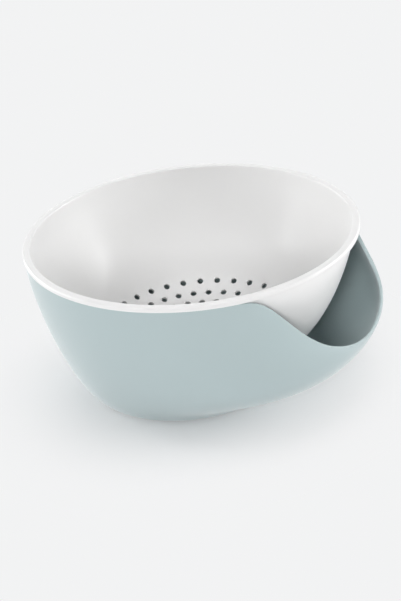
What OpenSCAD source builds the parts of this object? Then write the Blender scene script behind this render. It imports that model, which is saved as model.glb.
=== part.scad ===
// A two-piece strainer bowl, in millimetres.
// A round strainer hangs by its flange on the rim of an outer bowl. The outer bowl leans out
// to one side, where its wall swells and dips into an open pocket, for peel or for pouring.
// The origin is the centre of the foot on the table. +X points to the pocket and +Z is up.

/* [Strainer] */
// Outside diameter of the flange
flange_d = 240; // [200:1:280]
// Thickness of the flange
flange_t = 3.6; // [2.5:0.1:5]
// Depth from the top of the flange to the underside of the floor
strainer_depth = 92; // [75:1:100]
// Thickness of the strainer's wall and floor
strainer_wall = 1.8; // [1.4:0.1:3]
// Diameter of the strainer's flat floor, measured on its underside
strainer_floor_d = 72; // [60:1:100]
// Clearance between the strainer's wall and the inside of the outer bowl's rim
rim_clearance = 0.8; // [0.5:0.1:3]

/* [Drain holes] */
// Diameter of one drain hole
hole_d = 4.6; // [3:0.1:6]
// Number of rings of drain holes round the middle one, in the floor
floor_hole_rings = 3; // [1:1:3]
// Number of rings of drain holes above those, where the side turns into the floor
side_hole_rings = 5; // [1:1:5]

/* [Outer bowl] */
// Height of the rim above the table
bowl_h = 115; // [105:1:130]
// Thickness of the wall
bowl_wall = 2.5; // [1.8:0.1:3.5]
// Thickness of the floor
bowl_floor_t = 3; // [2:0.1:5]
// How far the flange reaches past the outer bowl's rim
flange_overhang = 0.6; // [0.2:0.1:3]
// Diameter of the bottom edge of the wall
bottom_d = 142.2; // [110:0.1:160]
// Distance from the middle of the foot to the middle of the rim
rim_shift = 14.6; // [0:0.1:25]

/* [Pocket] */
// How far the wall swells out under the pocket
pocket_swell = 31.8; // [20:0.1:45]
// How far the edge dips below the rim in the middle of the pocket
pocket_dip = 61.3; // [30:0.1:65]
// Angle from the middle of the pocket to each end of the dip, in degrees
pocket_half_angle = 54.3; // [40:0.1:60]

/* [Foot] */
// Height of the flat foot under the wall's bottom edge
foot_h = 0.6; // [0.4:0.1:3]
// How far the foot is set in from the wall's bottom edge
foot_inset = 0.6; // [0.3:0.1:3]

/* [Hidden] */

// Rounding of the flange's top outer edge, and of the edge into the strainer
flange_round = 1.4;
flange_inner_round = 1.2;
// Rounding of the flange's lower outer edge
flange_under_round = 0.6;
// Distance from the floor's last ring of holes to the floor's edge
hole_margin = 4.5;
// Holes in the floor's first ring, and facets round each hole
first_ring_holes = 6;
hole_steps = 24;
// How much wider each ring of side holes is than the one below, and the most holes in a ring
side_hole_step = 9;
side_hole_limit = 36;
// Rounding of the outer bowl's bottom edge, outside and inside
bottom_round = 1.2;
inside_round = 9;
// Overrun of every cut past the surface that it cuts
overrun = 1;
// How deep the foot is sunk into the floor that carries it
foot_root = 1.5;

// Powers of the strainer's side curve
strainer_drop_share = 1.174;
strainer_turn_share = 2.755;
// Powers of the outer bowl's side curve, and of the lean of its rings towards the pocket
wall_drop_share = 1.657;
wall_turn_share = 1.222;
lean_share = 2.28;
// Where up the wall the swell starts and where above that it is largest, its powers below and
// above there, how narrow it is round the wall, and how much its front is flattened
swell_start_share = 0.071;
swell_peak_share = 0.4;
swell_rise_share = 1.3;
swell_fall_share = 2.356;
swell_narrow_share = 6.573;
swell_flat_share = 3.649;
// Power of the dip's curve, and how much its square and its fourth power fill it out in between
dip_power_share = 4.923;
dip_square_share = 2.865;
dip_fourth_share = 14;
// How far apart the points round the wall are at the pocket, beside an even spacing
centre_share = 0.7;
// Powers that draw the points together where the strainer's side turns into its floor,
// and the rings together towards the bottom of the outer bowl's wall
profile_share = 2;
ring_share = 1.5;
// Step, as a share of a height, over which a slope is taken, and halvings that find a radius
slope_share = 0.001;
halvings = 16;

// Facets round a full turn of the strainer, and round and up the outer bowl's wall
round_steps = 180;
wall_steps = 128;
outside_rings = 18;
inside_rings = 14;
turn_steps = 8;
profile_steps = 26;
edge_steps = 4;

rim_r = flange_d / 2 - flange_overhang;
bottom_r = bottom_d / 2;
strainer_wall_r = rim_r - bowl_wall - rim_clearance;
strainer_floor_r = strainer_floor_d / 2;
strainer_drop = strainer_depth - flange_t;
hole_pitch = (strainer_floor_r - hole_margin) / floor_hole_rings;
foot_r = bottom_r - bottom_round - foot_inset;
shell_h = bowl_h - foot_h;
edge_r = bowl_wall / 2;

// The strainer's outside, t from 0 under the flange to 1 at the floor: [radius, height]
function strainer_r(t) = strainer_floor_r + (strainer_wall_r - strainer_floor_r)
    * pow(1 - pow(t, strainer_drop_share), 1 / strainer_turn_share);
function strainer_point(t) = [strainer_r(t), -strainer_drop * t];

// The same point moved in by the wall's thickness, square to the side
function strainer_inner(t) =
    let (a = strainer_point(max(t - slope_share, 0)),
         b = strainer_point(min(t + slope_share, 1)),
         d = (b - a) / norm(b - a))
    strainer_point(t) + strainer_wall * [d[1], -d[0]];

// An arc of points about a centre, from one angle to another
function arc(centre, r, from, to) = [
    for (i = [0 : turn_steps])
        let (a = from + (to - from) * i / turn_steps)
        centre + r * [cos(a), sin(a)]
];

// Shares down the strainer's side, closer together where it turns into the floor
side_shares = [for (i = [0 : profile_steps]) 1 - pow(1 - i / profile_steps, profile_share)];

// The strainer's section: underside outwards, flange, then down the inside
function strainer_section() =
    let (outer_r = flange_d / 2,
         inner_top_r = strainer_wall_r - strainer_wall,
         floor_top = -strainer_drop + strainer_wall,
         inside = [for (t = side_shares) strainer_inner(t)])
    concat(
        [[0, -strainer_drop]],
        [for (i = [profile_steps : -1 : 0]) strainer_point(side_shares[i])],
        arc([outer_r - flange_under_round, flange_under_round], flange_under_round, -90, 0),
        arc([outer_r - flange_round, flange_t - flange_round], flange_round, 0, 90),
        arc([inner_top_r + flange_inner_round, flange_t - flange_inner_round],
            flange_inner_round, 90, 180),
        [for (p = inside) if (p[1] < 0 && p[1] > floor_top && p[0] < inner_top_r) p],
        [[0, floor_top]]
    );

module drain_hole() {
    translate([0, 0, -overrun]) cylinder(d = hole_d, h = strainer_wall + 2 * overrun, $fn = hole_steps);
}

module floor_holes() {
    translate([0, 0, -strainer_drop]) {
        drain_hole();
        for (ring = [1 : floor_hole_rings]) {
            count = first_ring_holes * ring;
            for (place = [0 : count - 1])
                rotate(360 / count * place) translate([hole_pitch * ring, 0, 0]) drain_hole();
        }
    }
}

// The share down the side that has a given radius, found by halving
function side_share(r, low = 0, high = 1, tries = halvings) =
    let (middle = (low + high) / 2)
    tries == 0 ? middle
    : strainer_r(middle) > r ? side_share(r, middle, high, tries - 1)
    : side_share(r, low, middle, tries - 1);

// Each hole in the side is drilled square to the wall
module side_holes() {
    for (ring = [1 : side_hole_rings]) {
        r = hole_pitch * floor_hole_rings + side_hole_step * ring;
        t = side_share(r);
        across = strainer_inner(t) - strainer_point(t);
        count = min(round(first_ring_holes * r / hole_pitch), side_hole_limit);
        for (place = [0 : count - 1])
            rotate(360 / count * (place + ring / 2))
                translate([strainer_r(t), 0, -strainer_drop * t])
                    rotate([0, atan2(across[0], across[1]), 0])
                        drain_hole();
    }
}

module strainer() {
    color("white")
        translate([rim_shift, 0, bowl_h])
            difference() {
                rotate_extrude($fn = round_steps) polygon(strainer_section());
                floor_holes();
                side_holes();
            }
}

// The outer bowl's rings: s is the share of the height, from 0 at the bottom edge to 1 at the rim
function ring_x(s) = rim_shift * (1 - pow(1 - s, lean_share));
function ring_r(s) = bottom_r + (rim_r - bottom_r)
    * pow(1 - pow(1 - s, wall_drop_share), 1 / wall_turn_share);
function swell(a, s) =
    let (up = max(s - swell_start_share, 0) / (1 - swell_start_share))
    pocket_swell
    * pow((1 + cos(a)) / 2, swell_narrow_share) * (1 + swell_flat_share * (1 - cos(a)))
    * pow(up / swell_peak_share, swell_rise_share)
    * pow((1 - up) / (1 - swell_peak_share), swell_fall_share);

// How far the edge lies below the rim, at an angle round the ring
function dip(a) =
    let (u = min(abs(a) / pocket_half_angle, 1))
    pocket_dip * pow(1 - pow(u, 2), dip_power_share)
    * (1 + dip_square_share * pow(u, 2) + dip_fourth_share * pow(u, 4));

// The radius of the outside at an angle and a height, and how much it slopes there
function outside_r(a, z) =
    let (s = min(max(z / shell_h, 0), 1))
    ring_r(s) + swell(a, s);
function slope(a, z) =
    let (step = shell_h * slope_share,
         low = max(z - step, 0),
         high = min(z + step, shell_h))
    (outside_r(a, high) - outside_r(a, low)) / (high - low);
function rounding(r, z) = z < r ? r - sqrt(r * r - (r - z) * (r - z)) : 0;
function inside_r(a, z) = outside_r(a, z) - bowl_wall * sqrt(1 + pow(slope(a, z), 2));

function ring_point(a, r, z) = [ring_x(z / shell_h) + r * cos(a), r * sin(a), z + foot_h];

// Angles round the bowl, closer together along the pocket
function wall_angle(i) =
    let (t = i / wall_steps * 2 - 1)
    180 * (centre_share * t + (1 - centre_share) * t * t * t);
angles = [for (i = [0 : wall_steps - 1]) wall_angle(i)];

// The edge is flat where the flange rests on it, and rounded along the pocket
function edge_rise(a) = min(dip(a), edge_r);
function edge_z(a) = shell_h - dip(a) - edge_rise(a);
function outside_ring(t) = [
    for (a = angles)
        let (z = t * edge_z(a))
        ring_point(a, outside_r(a, z) - rounding(bottom_round, z), z)
];
function edge_ring(turn) = [
    for (a = angles)
        let (z = edge_z(a),
             half_w = (outside_r(a, z) - inside_r(a, z)) / 2,
             r = outside_r(a, z) - half_w * (1 - cos(turn)))
        ring_point(a, r, z + edge_rise(a) * sin(turn))
];
function inside_ring(t) = [
    for (a = angles)
        let (z = bowl_floor_t + t * (edge_z(a) - bowl_floor_t))
        ring_point(a, inside_r(a, z) - rounding(inside_round, z - bowl_floor_t), z)
];

module loft(rings) {
    steps = len(rings[0]);
    last = len(rings) - 1;
    polyhedron(
        points = [for (ring = rings) each ring],
        faces = concat(
            [[for (i = [0 : steps - 1]) i]],
            [for (j = [0 : last - 1], i = [0 : steps - 1])
                let (n = (i + 1) % steps)
                [j * steps + i, (j + 1) * steps + i, (j + 1) * steps + n]],
            [for (j = [0 : last - 1], i = [0 : steps - 1])
                let (n = (i + 1) % steps)
                [j * steps + i, (j + 1) * steps + n, j * steps + n]],
            [[for (i = [steps - 1 : -1 : 0]) last * steps + i]]
        )
    );
}

module outer_bowl() {
    color("#aebfc2")
        union() {
            loft(concat(
                [for (i = [0 : outside_rings]) outside_ring(pow(i / outside_rings, ring_share))],
                [for (i = [1 : edge_steps - 1]) edge_ring(180 * i / edge_steps)],
                [for (i = [inside_rings : -1 : 0]) inside_ring(pow(i / inside_rings, ring_share))]
            ));
            cylinder(r = foot_r, h = foot_h + foot_root, $fn = round_steps);
        }
}

outer_bowl();
strainer();
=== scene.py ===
"""Looks of a two-piece strainer bowl.

A white round strainer hangs in a pale grey-blue outer bowl.
"""

from math import atan, cos, radians, sin

import bpy
from mathutils import Matrix, Vector


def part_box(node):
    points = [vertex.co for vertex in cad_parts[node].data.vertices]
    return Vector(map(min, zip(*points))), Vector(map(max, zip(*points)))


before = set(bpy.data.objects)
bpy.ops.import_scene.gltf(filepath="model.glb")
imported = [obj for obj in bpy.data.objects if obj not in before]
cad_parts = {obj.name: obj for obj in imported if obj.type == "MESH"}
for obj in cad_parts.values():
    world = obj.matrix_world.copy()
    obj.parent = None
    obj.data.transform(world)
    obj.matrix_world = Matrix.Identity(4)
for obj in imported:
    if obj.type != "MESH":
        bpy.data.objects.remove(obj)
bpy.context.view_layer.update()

# Photograph's frame, in pixels
PHOTO_WIDTH = 401
PHOTO_HEIGHT = 601
# Where the middle of the rim lies there, and how many pixels one rim radius covers
RIM_PIXEL = (198.22, 228.62)
RIM_RADIUS_PIXELS = 169.07
# Camera: distance from the rim's middle in metres, and angles in degrees
CAMERA_DISTANCE = 1.2
CAMERA_ELEVATION = 24.61
CAMERA_AZIMUTH = 27.41
CAMERA_ROLL = -6.14
SENSOR_WIDTH = 36.0

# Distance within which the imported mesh's corners are one, in metres
MERGE_DISTANCE = 0.00001
# Edges sharper than this stay sharp, in degrees
SMOOTH_LIMIT = 40

# Plastics: scales of the clouding, the smudges and the moulded grain, per metre
CLOUD_SCALE = 9
SMUDGE_SCALE = 24
GRAIN_SCALE = 2600
NOISE_DETAIL = 2
# Part of a noise's range that is used
NOISE_RANGE = (0.2, 0.8)
# Height of the grain in metres
GRAIN_HEIGHT = 0.00005
PLASTIC_IOR = 1.49
COAT_ROUGHNESS = 0.18
SHEEN_WEIGHT = 0.3
SHEEN_ROUGHNESS = 0.35
# Each plastic: two colours that it clouds between, range of roughness, coat, strength of grain
BLUE_PLASTIC = ((0.437, 0.528, 0.54), (0.43, 0.521, 0.532), (0.37, 0.41), 0.15, 0.2)
WHITE_PLASTIC = ((0.825, 0.823, 0.819), (0.817, 0.815, 0.812), (0.3, 0.33), 0.2, 0.1)

# Floor: half its width, and the distances from the origin between which it turns into the
# background, in metres
FLOOR_REACH = 4.0
FLOOR_FADE = (0.04, 0.19)
FLOOR_COLOUR = (0.91, 0.903, 0.908, 1)
FLOOR_ROUGHNESS = 0.9
FLOOR_SPECULAR = 0.1
BACKGROUND_COLOUR = (0.89, 0.895, 0.9, 1)
# How strongly the background itself lights the object
WORLD_LIGHT = 0.05

# Point that the soft lights look at
LIGHT_TARGET = (0.015, 0.0, 0.06)
# Soft lights: name, place in metres as the camera sees it (right, away, up), size in metres,
# power in watts, and whether gloss shows it
LIGHTS = (
    ("key", (-0.114, -1.082, 0.52), 0.25, 6.5, False),
    ("left", (-1.3, 0.1, 0.3), 0.5, 4.8, True),
    ("right", (1.3, 0.1, 0.3), 0.7, 11, True),
    ("right_back", (1.1, 0.7, 0.35), 0.6, 2.3, True),
    ("left_back", (-1.1, 0.7, 0.35), 0.6, 7.3, True),
    ("back", (0.0, 1.3, 0.9), 1.2, 3.1, True),
    ("top", (0.0, 0.0, 1.4), 1.2, 8.4, True),
)

low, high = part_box("strainer")
rim_middle = Vector(((low.x + high.x) / 2, (low.y + high.y) / 2, high.z))
rim_radius = (high.x - low.x) / 2
camera_turn = Matrix.Rotation(radians(CAMERA_AZIMUTH), 3, "Z")


def make_camera():
    """A camera that sees the rim's middle and radius where the photograph has them."""
    focal = RIM_RADIUS_PIXELS * CAMERA_DISTANCE / rim_radius
    elevation = radians(CAMERA_ELEVATION)
    right = camera_turn @ Vector((1, 0, 0))
    forward = camera_turn @ Vector((0, cos(elevation), -sin(elevation)))
    up = camera_turn @ Vector((0, sin(elevation), cos(elevation)))
    place = rim_middle - forward * CAMERA_DISTANCE
    pan = atan((RIM_PIXEL[0] - PHOTO_WIDTH / 2) / focal)
    tilt = atan((RIM_PIXEL[1] - PHOTO_HEIGHT / 2) / focal)
    turn = Matrix.Rotation(pan, 3, up)
    forward = turn @ forward
    right = turn @ right
    nod = Matrix.Rotation(tilt, 3, right)
    forward = nod @ forward
    up = nod @ up
    roll = Matrix.Rotation(radians(-CAMERA_ROLL), 3, forward)
    right = roll @ right
    up = roll @ up
    axes = Matrix((right, up, -forward)).transposed()
    data = bpy.data.cameras.new("camera")
    data.sensor_fit = "HORIZONTAL"
    data.sensor_width = SENSOR_WIDTH
    data.lens = focal * SENSOR_WIDTH / PHOTO_WIDTH
    camera = bpy.data.objects.new("camera", data)
    camera.matrix_world = Matrix.Translation(place) @ axes.to_4x4()
    bpy.context.scene.collection.objects.link(camera)
    bpy.context.scene.camera = camera


def new_material(name):
    """A node material with a principled shader: (material, nodes, links, shader)."""
    material = bpy.data.materials.new(name)
    material.use_nodes = True
    nodes = material.node_tree.nodes
    return material, nodes, material.node_tree.links, nodes["Principled BSDF"]


def add_noise(nodes, links, scale):
    """A noise texture on the object's own coordinates."""
    place = nodes.new("ShaderNodeTexCoord")
    noise = nodes.new("ShaderNodeTexNoise")
    noise.inputs["Scale"].default_value = scale
    noise.inputs["Detail"].default_value = NOISE_DETAIL
    links.new(place.outputs["Object"], noise.inputs["Vector"])
    return noise.outputs["Fac"]


def add_range(nodes, links, value, low_value, high_value):
    """Maps a noise smoothly to a range."""
    node = nodes.new("ShaderNodeMapRange")
    node.interpolation_type = "SMOOTHERSTEP"
    node.inputs["From Min"].default_value = NOISE_RANGE[0]
    node.inputs["From Max"].default_value = NOISE_RANGE[1]
    node.inputs["To Min"].default_value = low_value
    node.inputs["To Max"].default_value = high_value
    links.new(value, node.inputs["Value"])
    return node.outputs["Result"]


def moulded_plastic(name, colour, shade, roughness, coat, grain):
    """Moulded plastic: a fine grain, faint clouding, and roughness that varies a little."""
    material, nodes, links, shader = new_material(name)
    cloud = add_noise(nodes, links, CLOUD_SCALE)
    mix = nodes.new("ShaderNodeMix")
    mix.data_type = "RGBA"
    mix.inputs["A"].default_value = (*colour, 1)
    mix.inputs["B"].default_value = (*shade, 1)
    links.new(add_range(nodes, links, cloud, 0, 1), mix.inputs["Factor"])
    links.new(mix.outputs["Result"], shader.inputs["Base Color"])
    smudge = add_noise(nodes, links, SMUDGE_SCALE)
    rough = add_range(nodes, links, smudge, roughness[0], roughness[1])
    links.new(rough, shader.inputs["Roughness"])
    fine = add_noise(nodes, links, GRAIN_SCALE)
    bump = nodes.new("ShaderNodeBump")
    bump.inputs["Strength"].default_value = grain
    bump.inputs["Distance"].default_value = GRAIN_HEIGHT
    links.new(fine, bump.inputs["Height"])
    links.new(bump.outputs["Normal"], shader.inputs["Normal"])
    shader.inputs["IOR"].default_value = PLASTIC_IOR
    shader.inputs["Coat Weight"].default_value = coat
    shader.inputs["Coat Roughness"].default_value = COAT_ROUGHNESS
    shader.inputs["Sheen Weight"].default_value = SHEEN_WEIGHT
    shader.inputs["Sheen Roughness"].default_value = SHEEN_ROUGHNESS
    return material


def smooth_group(name):
    """Geometry nodes that join the mesh's loose triangles and shade all but sharp edges smooth."""
    group = bpy.data.node_groups.new(name, "GeometryNodeTree")
    group.interface.new_socket("Geometry", in_out="INPUT", socket_type="NodeSocketGeometry")
    group.interface.new_socket("Geometry", in_out="OUTPUT", socket_type="NodeSocketGeometry")
    nodes, links = group.nodes, group.links
    merge = nodes.new("GeometryNodeMergeByDistance")
    merge.inputs["Distance"].default_value = MERGE_DISTANCE
    smooth = nodes.new("GeometryNodeSetShadeSmooth")
    angle = nodes.new("GeometryNodeInputMeshEdgeAngle")
    compare = nodes.new("FunctionNodeCompare")
    compare.data_type = "FLOAT"
    compare.operation = "GREATER_THAN"
    compare.inputs["B"].default_value = radians(SMOOTH_LIMIT)
    sharp = nodes.new("GeometryNodeSetMeshNormal")
    sharp.mode = "SHARPNESS"
    links.new(nodes.new("NodeGroupInput").outputs[0], merge.inputs["Geometry"])
    links.new(merge.outputs["Geometry"], smooth.inputs["Geometry"])
    links.new(smooth.outputs["Geometry"], sharp.inputs["Mesh"])
    links.new(angle.outputs["Unsigned Angle"], compare.inputs["A"])
    links.new(compare.outputs["Result"], sharp.inputs["Edge Sharpness"])
    links.new(sharp.outputs["Mesh"], nodes.new("NodeGroupOutput").inputs[0])
    return group


def dress(node, material):
    """Gives a CAD node one material and smooth shading."""
    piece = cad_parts[node]
    for slot in piece.material_slots:
        slot.material = material
    piece.modifiers.new("smooth", "NODES").node_group = smooth_group(node + "_smooth")


def area_light(name, place, size, power, glossy):
    """A square soft light that looks at the object."""
    data = bpy.data.lights.new(name, "AREA")
    data.size = size
    data.energy = power
    light = bpy.data.objects.new(name, data)
    light.location = camera_turn @ Vector(place)
    aim = Vector(LIGHT_TARGET) - light.location
    light.rotation_euler = aim.to_track_quat("-Z", "Y").to_euler()
    light.visible_glossy = glossy
    bpy.context.scene.collection.objects.link(light)


def seen_rays(nodes, links):
    """One for the camera's own rays and for what gloss and glass show, nought for light."""
    path = nodes.new("ShaderNodeLightPath")
    seen = path.outputs["Is Camera Ray"]
    for name in ("Is Glossy Ray", "Is Transmission Ray"):
        either = nodes.new("ShaderNodeMath")
        either.operation = "MAXIMUM"
        links.new(seen, either.inputs[0])
        links.new(path.outputs[name], either.inputs[1])
        seen = either.outputs[0]
    return seen


def make_floor():
    """A pale floor that keeps the object's shadow, and turns into the background further out."""
    mesh = bpy.data.meshes.new("floor")
    signs = ((-1, -1), (1, -1), (1, 1), (-1, 1))
    corners = [(x * FLOOR_REACH, y * FLOOR_REACH, 0) for x, y in signs]
    mesh.from_pydata(corners, [], [(0, 1, 2, 3)])
    floor = bpy.data.objects.new("floor", mesh)
    bpy.context.scene.collection.objects.link(floor)
    material, nodes, links, shader = new_material("floor")
    shader.inputs["Base Color"].default_value = FLOOR_COLOUR
    shader.inputs["Roughness"].default_value = FLOOR_ROUGHNESS
    shader.inputs["Specular IOR Level"].default_value = FLOOR_SPECULAR
    place = nodes.new("ShaderNodeTexCoord")
    length = nodes.new("ShaderNodeVectorMath")
    length.operation = "LENGTH"
    links.new(place.outputs["Object"], length.inputs[0])
    far = nodes.new("ShaderNodeMapRange")
    far.interpolation_type = "SMOOTHERSTEP"
    far.inputs["From Min"].default_value = FLOOR_FADE[0]
    far.inputs["From Max"].default_value = FLOOR_FADE[1]
    links.new(length.outputs["Value"], far.inputs["Value"])
    share = nodes.new("ShaderNodeMath")
    share.operation = "MULTIPLY"
    links.new(far.outputs["Result"], share.inputs[0])
    links.new(seen_rays(nodes, links), share.inputs[1])
    white = nodes.new("ShaderNodeEmission")
    white.inputs["Color"].default_value = BACKGROUND_COLOUR
    mix = nodes.new("ShaderNodeMixShader")
    links.new(share.outputs[0], mix.inputs[0])
    links.new(shader.outputs["BSDF"], mix.inputs[1])
    links.new(white.outputs["Emission"], mix.inputs[2])
    links.new(mix.outputs["Shader"], nodes["Material Output"].inputs["Surface"])
    floor.data.materials.append(material)


def make_world():
    """A pale background to look at, which adds only a little light of its own."""
    world = bpy.data.worlds.new("world")
    bpy.context.scene.world = world
    world.use_nodes = True
    nodes, links = world.node_tree.nodes, world.node_tree.links
    background = nodes["Background"]
    background.inputs["Color"].default_value = BACKGROUND_COLOUR
    level = nodes.new("ShaderNodeMix")
    level.data_type = "FLOAT"
    level.inputs["A"].default_value = WORLD_LIGHT
    level.inputs["B"].default_value = 1.0
    links.new(seen_rays(nodes, links), level.inputs["Factor"])
    links.new(level.outputs["Result"], background.inputs["Strength"])


make_camera()
dress("outer_bowl", moulded_plastic("blue_plastic", *BLUE_PLASTIC))
dress("strainer", moulded_plastic("white_plastic", *WHITE_PLASTIC))
make_floor()
make_world()
for light in LIGHTS:
    area_light(*light)
bpy.context.scene.view_settings.view_transform = "Standard"
